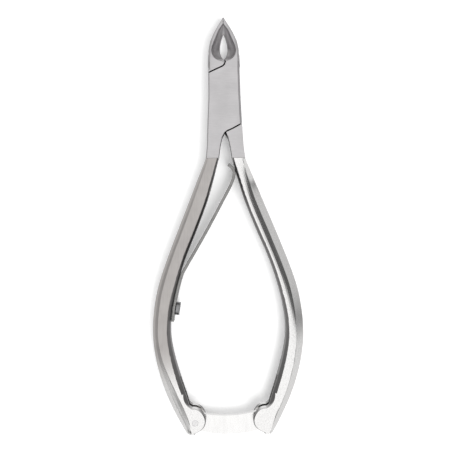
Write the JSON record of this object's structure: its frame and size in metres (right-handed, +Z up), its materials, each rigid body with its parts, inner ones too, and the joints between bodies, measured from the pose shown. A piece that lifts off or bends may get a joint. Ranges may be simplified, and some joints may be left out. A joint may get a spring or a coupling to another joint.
{
  "type": "cuticle nipper",
  "caption": "Lap-jointed steel nipper with short hollow-ground jaws, bowed handles, a leaf return spring and a swinging latch across the handle ends.",
  "frame": {"origin": "on the pivot axis, on the flat back face of the joint that the closed tool rests on", "axes": "+Y towards the jaws along the centre line, +Z up along the pivot axis, +X to the side of the handle that carries no spring"},
  "size_m": [0.0466, 0.1295, 0.008],
  "materials": {
    "satin_steel": "satin brushed stainless steel",
    "polished_steel": "polished stainless steel",
    "spring_steel": "bright rolled spring steel",
    "screw_steel": "dark turned steel"
  },
  "bodies": {
    "front": {"front_lever": "satin_steel", "joint_rivet": "satin_steel", "latch_rivet": "polished_steel", "spring_foot": "spring_steel", "spring_screw": "screw_steel"},
    "rear": {"rear_lever": "satin_steel", "catch_pin": "polished_steel"},
    "latch": {"latch_bar": "polished_steel"},
    "spring": {"spring_blade": "spring_steel"}
  },
  "joints": [
    {"name": "lever_pivot", "type": "hinge", "parent": "front", "child": "rear", "pos_m": [0, 0, 0.004], "axis": [0, 0, 1], "range_deg": [0, 15]},
    {"name": "latch_pivot", "type": "hinge", "parent": "front", "child": "latch", "pos_m": [-0.0106, -0.0995, 0.004], "axis": [0, 0, 1], "range_deg": [-90, 0]},
    {"name": "spring_bend", "type": "hinge", "parent": "front", "child": "spring", "pos_m": [-0.01395, -0.0537, 0.004], "axis": [0, 0, 1], "range_deg": [-13.5, 0]}
  ],
  "couplings": [
    {"joint": "latch_pivot", "follows": "lever_pivot", "ratio": -6},
    {"joint": "spring_bend", "follows": "lever_pivot", "ratio": -0.9}
  ]
}
